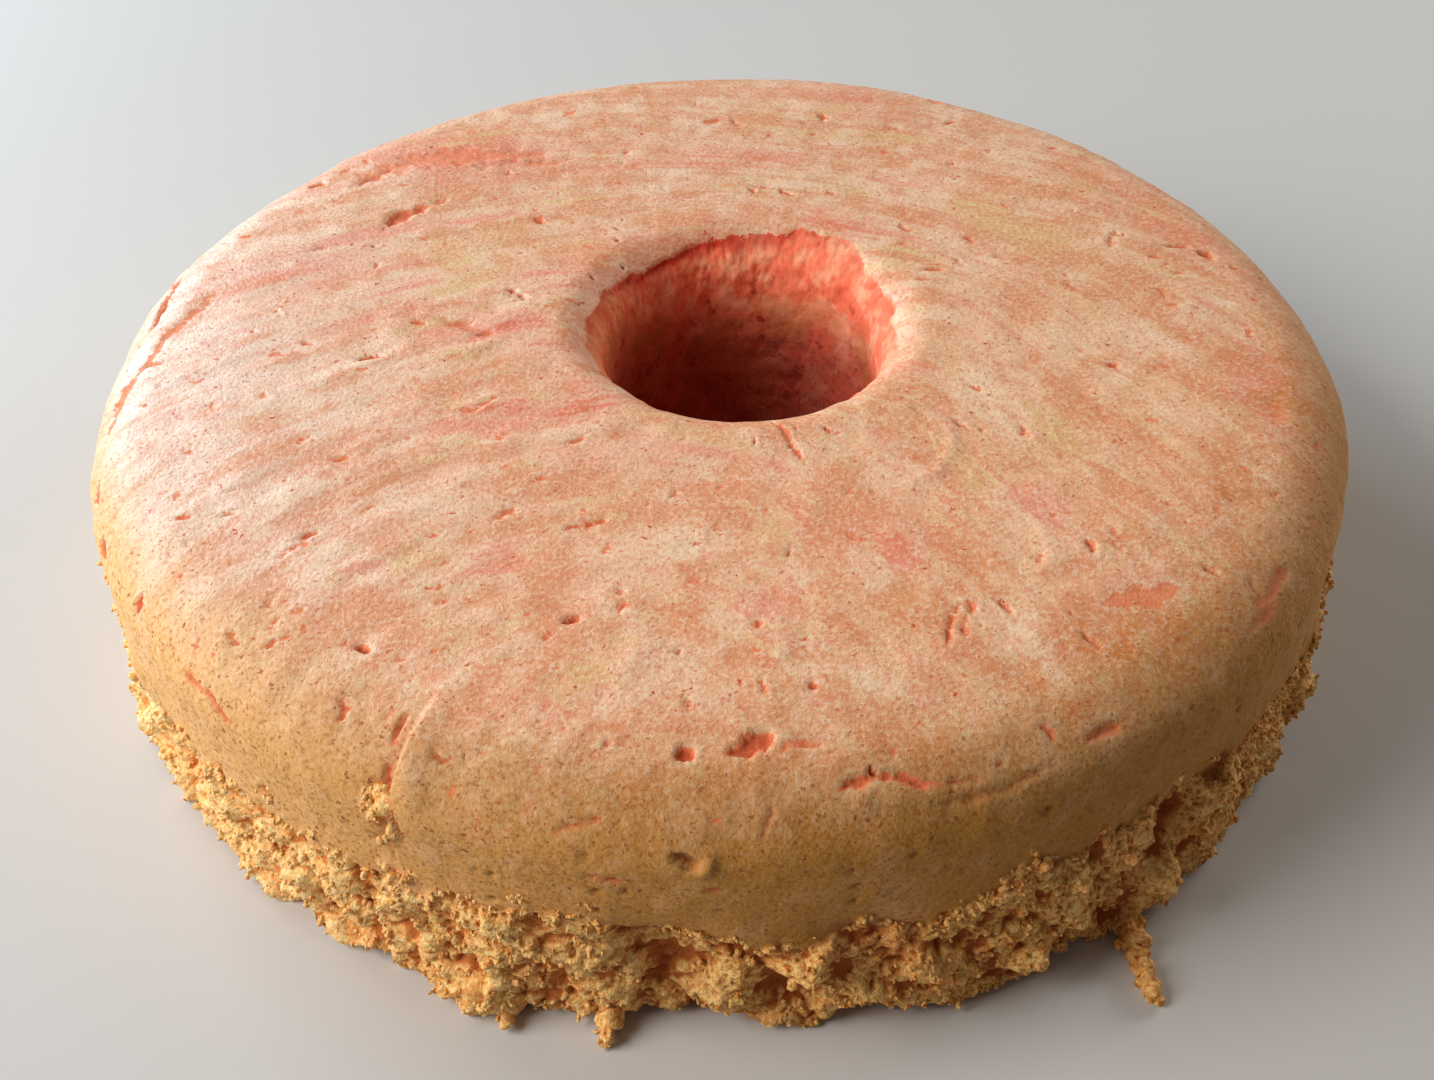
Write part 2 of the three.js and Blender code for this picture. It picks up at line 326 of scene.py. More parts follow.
# Cracks, pits and torn spots: half width, depth, how bare the crumb is, then the places that
# they go through
splits = (
    (0.9, 0.25, 0.75, (168, 104.5), (175, 108.5), (180, 112), (186, 115), (191, 117.5)),
    (1.1, 1, 0.9, (196, 120.5), (199, 121.5)), (1, 0.9, 0.8, (203, 123.5), (205, 124.5)),
    (0.9, 1, 0.8, (163, 118.5), (168, 116), (175, 115.5)),
    (1.3, 1.2, 1, (213, 122), (214, 121.5)),
    (0.7, 0.6, 0.66, (220, 121.5), (223, 122.8), (226, 123.6), (229, 125.5)),
    (4, 0.4, 0.5, (141, 102), (136, 100), (132, 98), (125, 90), (117, 84)),
    (1.3, 0.6, 0.5, (143, 101), (136, 100)), (2, 0.5, 0.42, (128, 88), (121, 82), (113, 79)),
    (1.8, 0.9, 0.85, (147, 83.5), (143, 83), (140, 81.5)),
    (0.8, 0.5, 0.6, (140, 81.5), (137, 80)), (1, 0.9, 0.9, (145, 110), (143, 110)),
    (0.5, 0.6, 0.5, (158, 93), (156, 89)), (0.9, 0.8, 1, (185, 70.5), (185, 67.5)),
    (0.5, 1, 1, (165, 48.5), (167, 47), (169, 48)), (0.7, 1, 1, (167, 46), (171, 44.5)),
    (1.6, 0.5, 0.55, (176, 57), (181, 52), (184, 49)), (0.8, 0.7, 0.9, (175, 63), (177, 60)),
    (0.55, 0.8, 1, (244, 64.5), (246, 63), (249, 61.5)),
    (0.5, 0.8, 1, (247, 62.5), (247.5, 64)), (0.9, 1, 1, (252, 83.5), (253.5, 82.5)),
    (0.5, 0.9, 1, (253, 84.5), (253, 81.5)), (0.9, 1.2, 1, (265, 87), (265.3, 87.5)),
    (0.9, 1.1, 0.9, (234.5, 101.5), (236, 102.5)), (1.6, 1.1, 1, (266, 108.5), (267, 107)),
    (2.1, 1, 0.95, (270, 107.5), (272, 106), (274, 104.5)),
    (0.5, 0.6, 0.8, (275, 106), (278, 107.5)),
    (1.0, 0.8, 0.95, (278, 115), (281, 114.5), (283, 115), (286, 117)),
    (1.2, 1.2, 1, (281, 113.8), (281.5, 113.4)), (0.4, 0.6, 0.7, (286, 117), (290, 118.5)),
    (1, 0.6, 0.7, (298, 117), (300, 117.5), (302, 118)),
    (2.5, 0.12, 0.78, (309, 99.5), (312, 102), (315, 105)),
    (0.5, 0.6, 0.95, (297, 85.5), (295, 88), (294, 90), (292, 94)),
    (2, 0.12, 0.5, (345, 104), (347, 106.5), (344, 108.5)),
    (1.5, 0.1, 0.5, (340, 110), (341, 108)),
    (1, 0.4, 0.7, (326, 117), (322, 116.5), (319, 117)),
    (0.8, 0.3, 0.66, (322, 119), (317, 119)), (0.8, 0.8, 1, (351, 76), (351.5, 78)),
    (0.6, 0.7, 0.8, (18, 99), (17, 104)), (0.8, 0.8, 0.8, (14, 107), (17, 105)),
    (0.45, 0.45, 0.9, (278, 33), (280, 38), (281, 42), (284, 50)),
    (0.45, 0.4, 0.8, (283, 41), (280, 43)), (0.9, 0.8, 0.9, (86, 51), (83.5, 51.5)),
    (1, 0.9, 0.9, (126, 43), (126.5, 42.5)), (0.8, 0.9, 0.9, (131, 38.5), (132, 38)),
    (0.9, 0.9, 0.9, (137, 33), (138, 32.5)), (0.35, 0.5, 0.6, (122, 46), (116, 45)),
    (1, 1.8, 1, (242.5, 126.5), (243, 127)),
    (0.5, 1.3, 0.75, (243, 110), (243.2, 115.5), (244, 122), (245.5, 128), (246, 133)),
    (0.6, 0.5, 0.55, (257.5, 122.5), (259, 121), (261, 119)),
    (0.9, 1.3, 0.3, (266, 124), (266.6, 125), (267.6, 126)),
    (0.6, 1, 0.8, (268, 131), (269.5, 131.5)), (0.6, 0.8, 0.7, (260, 129), (262.5, 130)),
    (0.7, 1, 0.8, (262, 132), (262.5, 132.5)),
    (0.7, 0.5, 0.3, (285, 120), (291, 120.5), (295, 119.5)),
    (0.8, 0.6, 0.6, (20, 88), (24, 92)), (0.9, 1, 0.9, (60, 112), (66, 114), (72, 113)),
    (1.2, 1, 0.9, (95, 118), (99, 120)), (1, 0.8, 0.8, (40, 120), (46, 122)),
    (0.8, 1, 0.9, (118, 121), (122, 119), (127, 120)),
)

# Wrinkles and curled edges of the crust: width, height, then the places
ridges = (
    (0.9, 0.4, (307, 39.5), (317, 45.5), (318, 52.5), (314, 56.5), (308, 58.5), (302, 58.5)),
    (1.2, 0.3, (312, 70), (313.5, 79.5), (311, 85), (307, 88)),
    (1.3, 0.45, (172, 66), (180, 65.5), (187, 60), (190, 52), (187, 46)),
    (0.7, 1, (268.5, 124), (268.6, 126), (267.6, 127.2)),
    (2.4, 0.8, (245.4, 106), (245.2, 112), (245.4, 117), (246.4, 122.5), (247.9, 128)),
    (1.3, 0.55, (279, 117.5), (282, 117.2), (285, 118.8)),
    (1.6, 0.3, (171, 110), (177, 113), (183, 116.5), (189, 119.5)),
    (2.2, 0.3, (293, 121.5), (303, 120.5), (312, 121)),
    (1.4, 0.25, (258, 77), (262, 86), (259, 94)), (0.9, 0.22, (276, 78), (277, 86), (275, 91)),
    (0.9, 0.3, (297, 35), (303, 33), (309, 34)),
)

# Soft stains: direction, reach, size along and across, which way it lies, strength
stains = {
    "pink": (
        (128, 95, 34, 15, -10, 1.0), (163, 92, 24, 10, 15, 0.8), (171, 70, 16, 7, 30, 0.35),
        (180, 55, 13, 9, 20, 0.55), (207, 58, 18, 4, 0, 0.35), (226, 42, 18, 5, 0, 0.45),
        (243, 47, 26, 7, 5, 0.35), (247, 76, 10, 12, 30, 0.35), (250, 103, 16, 8, 25, 0.4),
        (262, 103, 16, 5, 0, 0.35), (275, 54, 22, 8, 0, 0.3), (297, 67, 26, 10, 10, 0.4),
        (313, 100, 14, 7, 10, 0.45), (344, 105, 10, 16, 0, 0.5), (351, 106, 18, 9, 90, 0.9),
        (22, 104, 26, 9, -60, 0.7), (70, 100, 22, 9, -20, 0.4), (95, 70, 20, 8, 0, 0.3),
        (40, 60, 20, 8, -30, 0.3), (60, 38, 9, 8, 0, 0.5), (150, 37, 20, 12, -60, 0.45),
        (195, 36, 20, 12, -10, 0.4), (112, 35, 20, 8, 10, 0.45), (262.3, 144, 6, 6, 0, 0.9),
        (229.5, 144, 6, 6, 0, 0.8), (214.9, 158, 9, 7, 0, 0.7), (308, 146, 8, 6, 0, 0.9),
        (282, 150, 16, 8, 0, 0.6),
    ),
    "beige": (
        (150, 62, 30, 16, 20, 0.35), (258, 96, 16, 8, 45, 0.9), (255, 108, 9, 5, 30, 0.7),
        (36, 72, 24, 10, -30, 0.5), (27, 74, 20, 8, -30, 0.4), (330, 62, 24, 10, -10, 0.4),
        (232, 80, 16, 8, 35, 0.3), (225, 116, 16, 8, 35, 0.6), (203, 110, 14, 9, 60, 0.3),
    ),
    "orange": (
        (280, 95, 22, 6, 0, 0.4), (245, 78, 16, 9, 35, 0.45), (305, 108, 30, 10, 30, 0.6),
        (330, 100, 20, 9, 60, 0.5), (349, 109, 26, 13, 90, 0.8), (290, 80, 14, 7, -20, 0.4),
        (268, 112, 20, 5, 0, 0.4),
    ),
}

# Small marks scattered over the crust
speckles = {
    "seed": 41,
    "cracks": 300,
    "crackLength": (1.5, 5.0),
    "crackWide": (0.3, 0.6),
    "crackDeep": (0.2, 0.6),
    "pits": 260,
    "pitWide": (0.35, 0.75),
    "pitDeep": (0.2, 0.8),
    "reach": (34, 120),
    "bare": (0.55, 1),
    "small": 1.7,  # how much more often they are small than large
    "astray": 0.45,  # how far they lie off the streaks, and bend
    "bend": 0.5,
}

# Batter streaks curve round one place of the crust, laid out flat
flow = {
    "centre": (-25.0, -110.0),
    "across": 7.0,
    "round": 2.2,
    "warp": 4.0,
    "warpSize": 28,
    "finer": 2.1,  # how much finer the second set of streaks is
}


def scatteredMarks():
    # short cracks that follow the streaks, and small pits
    look = speckles
    draw = np.random.default_rng(look["seed"])
    marks = []
    low, high = look["reach"]
    for index in range(look["cracks"] + look["pits"]):
        kind = "crack" if index < look["cracks"] else "pit"
        direction = math.radians(draw.uniform(0, 360))
        reach = math.sqrt(draw.uniform(low**2, high**2))
        size = draw.random() ** look["small"]
        wide = np.interp(size, (0, 1), look[kind + "Wide"])
        deep = np.interp(size, (0, 1), look[kind + "Deep"])
        length = np.interp(size, (0, 1), look["crackLength"]) if kind == "crack" else wide
        x, y = reach * math.cos(direction), reach * math.sin(direction)
        lie = math.atan2(x - flow["centre"][0], flow["centre"][1] - y)
        lie += draw.normal(0, look["astray"])
        line = []
        for share in (-0.5, -0.15, 0.2, 0.5):
            px = x + share * length * math.cos(lie)
            py = y + share * length * math.sin(lie)
            lie += draw.normal(0, look["bend"])
            line.append((math.degrees(math.atan2(py, px)) % 360, math.hypot(px, py)))
        marks.append((wide, deep, draw.uniform(*look["bare"]), *line))
    return marks


# Fine relief of the crust
crust = {
    "ragged": ((400, 2.1, 0.6), (500, 0.9, 0.4)),  # the edges of cracks
    "wander": ((430, 450, 470), 3.4, 0.9),  # seeds, size and most of a crack's sideways wander
    "ripples": ((130, 5.5, 0.16), (150, 2.3, 0.1)),
    "groove": 0.08,  # height of grooves along the streaks
    "groovesLeft": (0.16, 200, 40),  # how much higher they are on the left, and where that is
    "pitUneven": ((900, 1.6, 0.6),),
    "pitSpacing": 3.4,
    "pitDeep": 0.9,
    "pitReach": (8, 24),  # past the flat top, where the side's pits begin and are full
    "crest": 0.25,  # painted highlight: how pale the crests of ridges and the lips of cracks are
}


def nearLine(rows, points, angle, reach, wander, places, wide):
    # which points lie near a marked line, how far off they are, and its tapered width
    direction, place = np.array(places, float).T
    line = surfacePoint(rows, direction, place)
    span = 5 + 2 * wide
    turn = np.radians(turnBetween(angle, direction[0])) * place.mean()
    length = np.abs(np.radians(turnBetween(direction, direction[0])) * place).max()
    beside = (reach > place.min() - span) & (reach < place.max() + span)
    near = np.flatnonzero((np.abs(turn) < length + span) & beside)
    astray = min(crust["wander"][2], wide) * wander[near]
    distance, along = lineDistance(points[near] + astray, line)
    return near, distance, np.sqrt(np.clip(1.1 - (2 * along - 1) ** 2, 0.02, 1))


def markedCrust(rows, points, angle, reach):
    # how far cracks and ridges move the crust along its normal, the distance to the edge
    # of the nearest crack (below 0 inside it), how bare it is, and its painted crest highlight
    move = np.zeros(len(points))
    edge = np.full(len(points), 3.0)
    bare = np.zeros(len(points))
    pale = np.zeros(len(points))
    ragged = layered(points, crust["ragged"])
    seeds, size, _ = crust["wander"]
    wander = np.stack([noise(points + seed, size) for seed in seeds], 1)
    for wide, deep, bareness, *places in (*splits, *scatteredMarks()):
        near, distance, taper = nearLine(rows, points, angle, reach, wander, places, wide)
        outside = distance - wide * taper * (1 + 0.9 * ragged[near])
        inside = smoothstep(-outside, -0.2, 0.3 + 0.3 * wide)
        lip = bell(outside - 0.5, 0.3 + 0.15 * wide)
        move[near] -= deep * (inside - 0.1 * lip)
        bare[near] = np.where(outside < edge[near], bareness, bare[near])
        edge[near] = np.minimum(edge[near], outside)
        # painted highlight on the lips of cracks
        pale[near] = np.maximum(pale[near], crust["crest"] * lip * min(wide, 1))
    for wide, high, *places in ridges:
        near, distance, taper = nearLine(rows, points, angle, reach, wander, places, wide)
        crest = bell(distance, wide) * taper
        move[near] += high * crest * (1 + 0.4 * ragged[near])
        # painted highlight on the crests of ridges
        pale[near] = np.maximum(pale[near], crust["crest"] * crest)
    return move, edge, bare, pale


def stained(angle, reach):
    # strength of each kind of stain, laid out flat
    turn = np.radians(angle)
    x, y = reach * np.cos(turn), reach * np.sin(turn)
    strength = {kind: np.zeros(len(angle)) for kind in stains}
    for kind, spots in stains.items():
        for at, place, length, width, lie, much in spots:
            at, lie = math.radians(at), math.radians(lie)
            dx, dy = x - place * math.cos(at), y - place * math.sin(at)
            along = 2 * (dx * math.cos(lie) + dy * math.sin(lie)) / length
            across = 2 * (dy * math.cos(lie) - dx * math.sin(lie)) / width
            strength[kind] += much * np.exp(-0.5 * (along**2 + across**2))
    return strength


crumb = {
    "clumps": ((5.2, 0.7), (2.7, 1.0), (1.5, 1.1)),  # size and height, from coarse to fine
    "grain": ((70, 0.8, 0.6),),
    "cavities": (90, 6.0, 1.7),  # seed, size and depth
    "shears": ((4.0, 0.8), (1.8, 0.5)),  # size and reach of the crumb's sideways shifts
    "raggedEdge": ((210, 9.0, 2.0), (210, 3.4, 2.2), (210, 1.5, 1.0)),
    "flakes": ((260, 3.8, 3.0), (280, 1.8, 1.6)),
    "flakesRare": (1.2, 0.28),  # how rare flakes are at the edge, and more so away from it
    "inmost": 8,  # past the flat top, where the crust can be torn at all
    "footLift": 3.0,
    "footWaves": ((730, 5, 1), (750, 2, 0.6)),
    "mouth": 30.5,  # reach where the crust gives way to the torn wall of the hole
    "mouthEdge": ((310, 6, 1.5), (330, 2.4, 1.1)),
    "mouthTear": (5.0, 58, 17),  # how far out, direction, spread
    "lipShare": 0.7,
    # lumps and pits of the torn band: direction, height, size, how far out
    "lumps": (
        (313.5, 26.5, 2.2, 2.4), (311, 22.5, 2, 2.4), (309, 19, 2, 2.2), (306.4, 14, 2.2, 2.3),
        (308.4, 27.3, 1.8, -3), (306.1, 20, 1.6, -2.6), (330.6, 13.8, 2.2, -2.6),
        (293.5, 10.2, 1.7, 2.3), (297.9, 14.9, 1.7, 2.3), (276.2, 29, 1.9, 1.8),
        (276.5, 24, 2.1, 2.2), (276.1, 18, 2.2, 2.4), (276.3, 13.5, 2, 2),
        (262.3, 27.5, 1.8, -2.6), (229.5, 28.3, 1.7, -2.4), (214.9, 13.6, 2.4, -2.4),
        (248.7, 11.9, 2.6, -2.8), (243.7, 47.5, 2.2, 1.4), (236, 16, 2.6, 2),
        (224, 20, 2.6, 1.8), (285, 15, 2.4, 2),
    ),
    # torn places above the band: direction, reach, size
    "spots": (
        (243.7, 124.3, 1.7), (243.1, 127.6, 1.0), (244.9, 130.5, 0.8), (231, 138, 1.2),
        (300, 140, 1.2),
    ),
}


def crumbRelief(points):
    # rounded clumps with finer lumps on them, and cavities between
    move = layered(points, crumb["grain"])
    for index, (size, height) in enumerate(crumb["clumps"]):
        distance, value = cellDistance(points, size, index + 1)
        move += height * (0.42 - distance**2 + 0.5 * (value - 0.5))
    seed, size, depth = crumb["cavities"]
    return move - depth * smoothstep(noise(points + seed, size), 0.1, 0.75)


def crustRipples(points, angle, reach, streak):
    # waves, grooves along the streaks, and pits on the side
    more, at, spread = crust["groovesLeft"]
    ripple = layered(points, crust["ripples"])
    groove = crust["groove"] + more * around(angle, at, spread)
    ripple += groove * noise(streak * flow["finer"], 1)
    uneven = layered(points, crust["pitUneven"])[:, None]
    away, own = cellDistance(points + uneven, crust["pitSpacing"], 5)
    pits = smoothstep(own, 0.35, 1) * (1 - smoothstep(away, 0.05, 0.34))
    low, high = crust["pitReach"]
    full = smoothstep(reach, flatReach + low, flatReach + high)
    return ripple - crust["pitDeep"] * pits * full


def batterStreaks(points, turn, reach):
    # places along and across the streaks, laid out flat and curving round one place
    seeds = (610, 650)
    warps = [flow["warp"] * noise(points + seed, flow["warpSize"]) for seed in seeds]
    east = reach * np.cos(turn) - flow["centre"][0] + warps[0]
    north = reach * np.sin(turn) - flow["centre"][1] + warps[1]
    away = np.hypot(east, north) + 1e-6
    along = [part / away * flow["round"] for part in (east, north)]
    return np.column_stack([*along, away / flow["across"]])


def brokenEdges(points, angle, reach, height, edge):
    # where the crust is broken off at the side and in the hole, as distances to the broken
    # edge, which are above 0 on crumb
    ragged = layered(points, crumb["raggedEdge"])
    rare, rarer = crumb["flakesRare"]
    flakes = layered(points, crumb["flakes"]) - rare - rarer * np.abs(height - edge)
    tornEdge = np.maximum(edge + ragged - height, flakes)
    for direction, place, size in crumb["spots"]:
        away = awayFrom(angle, direction, place, reach - place)
        tornEdge = np.maximum(tornEdge, size - away + 0.8 * ragged)
    tornEdge = np.where(reach > flatReach + crumb["inmost"], tornEdge, -3)
    out, at, spread = crumb["mouthTear"]
    mouth = crumb["mouth"] + out * around(angle, at, spread)
    mouth += layered(points, crumb["mouthEdge"])
    return tornEdge, mouth - reach


def sunkShare(faces, move, rounds=36):
    # how deep each point sits below its surroundings: half where it is level, up to 1
    ends = []
    for part in faces:
        after = np.roll(part, -1, 1)
        ends += [(part[:, k], after[:, k]) for k in range(part.shape[1])]
    start, end = (np.concatenate(side) for side in zip(*ends))
    size = len(move)
    degree = np.bincount(start, minlength=size) + np.bincount(end, minlength=size)
    level = move
    for _ in range(rounds):
        level = np.bincount(start, level[end], size) + np.bincount(end, level[start], size)
        level = level / degree
    return np.clip(0.5 + 0.55 * (level - move), 0, 1)


# Where colours change, some of them as painted light and shade: directions with spreads, and
# reaches
zones = {
    "front": (285, -0.3, 0.6),
    "brownFrom": (5, 17),  # past the flat top, and how much sooner that is in front
    "brownFull": (25, 6),
    # a painted sheen on the left of the top: direction and spread
    "paintedSheen": (186, 24),
    "paintedSheenReach": (55, 100),
    "underLipShade": (112, 34),  # painted shade: the side of the hole that lies under its lip
    "holeLeftShade": (178, 32),  # painted shade: its left side, browner
    "shadedTurn": 0.75,  # the direction that the painted shade deepens in, in radians
    "shadedEnds": (-60, 110),
}


def shadedSideShare(points):
    # painted light and shade: 0 on the lit left, 1 on the shaded right
    turn = zones["shadedTurn"]
    along = points[:, 0] * math.cos(turn) - points[:, 1] * math.sin(turn)
    return smoothstep(along, *zones["shadedEnds"])


def colourZones(points, angle, reach):
    at, low, high = zones["front"]
    front = smoothstep(np.cos(np.radians(angle) - math.radians(at)), low, high)
    paintedSheen = around(angle, *zones["paintedSheen"])
    ends = (zones["brownFrom"], zones["brownFull"])
    start, full = (flatReach + past - sooner * front for past, sooner in ends)
    return {
        "browned": smoothstep(reach, start, full),
        "paintedSheen": paintedSheen * smoothstep(reach, *zones["paintedSheenReach"]),
        "shadedSide": shadedSideShare(points),
        "underLipShade": around(angle, *zones["underLipShade"]),
        "holeLeftShade": around(angle, *zones["holeLeftShade"]) * (reach < mouthReach),
        **stained(angle, reach),
    }


def shapedRing(rows, points, normals, angle, reach, faces):
    form = cake
    bevel, footRadius = form["bevel"], form["footRadius"]
    edgeMiddle = form["rimRadius"] - form["edgeReach"] / 2
    radius = np.hypot(points[:, 0], points[:, 1])
    height = points[:, 2]
    outward = smoothstep(radius, form["outlineReach"], edgeMiddle)
    inward = 1 - smoothstep(radius, mouthReach, form["shiftReach"])
    onTop = np.maximum(normals[:, 2], 0)
    foot = smoothstep(radius, footRadius - form["footInset"], footRadius - bevel)
    foot *= 1 - smoothstep(height, bevel, 3 * bevel)
    clear = np.maximum(smoothstep(height, 0, bevel), foot)
    turn = np.radians(angle)
    sideways = np.column_stack([np.cos(turn), np.sin(turn), 0 * turn])
    normals = normals + foot[:, None] * (sideways - normals)
    edge = crustEdge(angle)

    # the form that the cake has without its fine crumb
    torn = 1 - smoothstep(height, edge - 3, edge + 1)
    crags = layered(points, relief["crags"])
    wave = layered(points, relief["wave"])
    side = torn * (crags - relief["lip"] + swell(angle, footSwells))
    side += (1 - torn) * (wave + swell(angle, crustSwells))
    for place in sideLumps:
        side += lump(angle, height, *place)
    wall = layered(points, relief["holeWave"])
    past = turnBetween(fold["at"], angle)
    dip = fold["depth"] * np.where(past > 0, np.exp(-np.abs(past) / fold["spread"]), 0)
    dip *= smoothstep(radius, fold["inmost"], edgeMiddle)
    dip *= smoothstep(height, fold["lowest"], fold["full"])
    move = clear * (outward * (1 - onTop) * side + (1 - outward) * (1 - onTop) * wall - dip)

    # crumb on what is torn, fine waves and marks on the crust
    tornEdge, holeEdge = brokenEdges(points, angle, reach, height, edge)
    tornShare = smoothstep(tornEdge, -0.4, 0.5)
    holeShare = smoothstep(holeEdge, -0.4, 0.5)
    whole = (1 - tornShare) * (1 - holeShare)
    streak = batterStreaks(points, turn, reach)
    crumbMove = crumbRelief(points)
    marks, splitEdge, bare, pale = markedCrust(rows, points, angle, reach)
    ripple = crustRipples(points, angle, reach, streak)
    for place in crumb["lumps"]:
        crumbMove += lump(angle, height, *place)
    move += clear * (tornShare * crumbMove + crumb["lipShare"] * relief["lip"] * torn)
    move += clear * holeShare * (0.3 * crumbMove - 0.4)
    move += whole * clear * (marks + ripple)

    placed = points + normals * move[:, None]
    rough = np.clip(tornShare + 0.25 * holeShare, 0, 1) * clear
    for axis, seed in enumerate((170, 310, 470)):
        for size, shear in crumb["shears"]:
            placed[:, axis] += shear * rough * noise(points + seed, size)
    lift = (wave + form["crown"] * (1 - outward)) * onTop
    lift += crumb["footLift"] * foot * np.maximum(layered(points, crumb["footWaves"]), 0)
    placed[:, 2] = np.maximum(placed[:, 2] + clear * lift, 0)
    placed[:, 0] += form["holeShift"][0] * inward
    placed[:, 1] += form["holeShift"][1] * inward

    known = {
        "tornEdge": np.clip(tornEdge, -3, 3),
        "holeEdge": np.clip(holeEdge, -3, 3),
        "splitEdge": splitEdge,
        "bare": bare,
        "pale": pale,
        "sunk": sunkShare(faces, move),
        "depth": np.clip((form["height"] - height) / form["height"], 0, 1),
        **colourZones(points, angle, reach),
        "streak": streak,
    }
    return placed, known


def meshPiece(name, points, faces, material, known):
    mesh = bpy.data.meshes.new(name)
    corners = np.concatenate([part.ravel() for part in faces])
    totals = np.concatenate([np.full(len(part), part.shape[1]) for part in faces])
    starts = np.concatenate([[0], np.cumsum(totals)[:-1]])
    mesh.vertices.add(len(points))
    mesh.vertices.foreach_set("co", (points * metre).astype(np.float32).ravel())
    mesh.loops.add(len(corners))
    mesh.loops.foreach_set("vertex_index", corners.astype(np.int32))
    mesh.polygons.add(len(totals))
    mesh.polygons.foreach_set("loop_start", starts.astype(np.int32))
    mesh.update(calc_edges=True)
    mesh.validate()
    mesh.shade_smooth()
    for label, values in known.items():
        kind, key = ("FLOAT", "value") if values.ndim == 1 else ("FLOAT_VECTOR", "vector")
        layer = mesh.attributes.new(label, kind, "POINT")
        layer.data.foreach_set(key, values.astype(np.float32).ravel())
    mesh.materials.append(material)
    piece = bpy.data.objects.new(name, mesh)
    bpy.context.scene.collection.objects.link(piece)
    return piece


class Wire:
    # an output of a node, or a bare node tree to start from
    def __init__(self, tree, socket=None):
        self.tree = tree
        self.socket = socket

    def node(self, kind, settings=None, inputs=None, output=0):
        made = self.tree.nodes.new(kind)
        for key, value in (settings or {}).items():
            setattr(made, key, value)
        for key, value in (inputs or {}).items():
            if isinstance(value, Wire):
                self.tree.links.new(value.socket, made.inputs[key])
            else:
                made.inputs[key].default_value = value
        return Wire(self.tree, made.outputs[output])

    def math(self, operation, *values):
        return self.node("ShaderNodeMath", {"operation": operation}, dict(enumerate(values)))

    def __add__(self, other):
        return self.math("ADD", self, other)

    def __sub__(self, other):
        return self.math("SUBTRACT", self, other)

    def __rsub__(self, other):
        return self.math("SUBTRACT", other, self)

    def __mul__(self, other):
        return self.math("MULTIPLY", self, other)

    __radd__ = __add__
    __rmul__ = __mul__

    def smooth(self, low, high):
        ends = {"Value": self, "From Min": low, "From Max": high}
        return self.node("ShaderNodeMapRange", {"interpolation_type": "SMOOTHSTEP"}, ends)

    def clipped(self):
        return self.node("ShaderNodeClamp", {}, {"Value": self})

    def blend(self, first, second):
        # first where this is 0, second where it is 1
        inputs = {"Factor": self, "A": first, "B": second}
        return self.node("ShaderNodeMix", {"data_type": "RGBA"}, inputs, "Result")

    def scaled(self, factor):
        inputs = {0: self, "Scale": factor}
        return self.node("ShaderNodeVectorMath", {"operation": "SCALE"}, inputs)

    def shifted(self, step):
        return self.node("ShaderNodeVectorMath", {"operation": "ADD"}, {0: self, 1: step})


def paint(red, green, blue):
    # a colour given as a picture shows it, from 0 to 255
    linear = [
        value / 12.92 if value <= 0.04045 else ((value + 0.055) / 1.055) ** 2.4
        for value in (red / 255, green / 255, blue / 255)
    ]
    return (*linear, 1)


spongeLook = {
    # painted light and shade: colours on the lit left and on the shaded right, which are darker
    # and more saturated
    "peach": (paint(228, 160, 118), paint(226, 150, 104)),
    "peachPale": (paint(244, 206, 172), paint(248, 210, 168)),
    "browned": (paint(236, 182, 110), paint(184, 124, 42)),
    "pink": paint(234, 132, 102),
    "beige": paint(228, 188, 128),
    "orange": paint(218, 128, 66),
    "pale": paint(250, 226, 196),
    "paintedSheen": paint(246, 226, 214),
    "poreTint": (paint(204, 104, 56), paint(150, 80, 20)),  # on the top and on the side
    "crackTint": paint(196, 78, 40),
    "bare": paint(234, 132, 84),
    "bareShade": paint(200, 76, 34),
    "crumb": (paint(255, 196, 110), paint(214, 138, 54)),
    "crumbLight": (paint(255, 234, 172), paint(250, 206, 126)),
    "crumbShade": (paint(234, 144, 66), paint(172, 86, 20)),
    "crumbPink": paint(234, 138, 72),
    "hole": paint(250, 124, 88),
    "holeLight": paint(255, 166, 126),
    "holeBeige": paint(196, 122, 60),
    "holeDeepShade": paint(136, 32, 8),
    "holeRedAndLipShade": paint(206, 54, 22),
    "granule": 0.9,  # between bubbles of the skin and grains of the crumb
    "pore": (1.9, 0.5, 0.1),  # between pores, largest radius, how many are left out
    "crackSize": 6.0,
    "crackWidth": 0.034,
    "grainSize": 0.9,
    "mottleSize": 6.0,
    "blotchSize": 15.0,
    "uneven": (0.7, 0.9),  # size and reach of the shifts that make all edges uneven
    "ragged": 3.2,
    "crustRoughness": 0.45,
    "crumbRoughness": 0.85,
    "specular": 0.45,
    "bump": (0.9, 0.35),  # strength and height
}


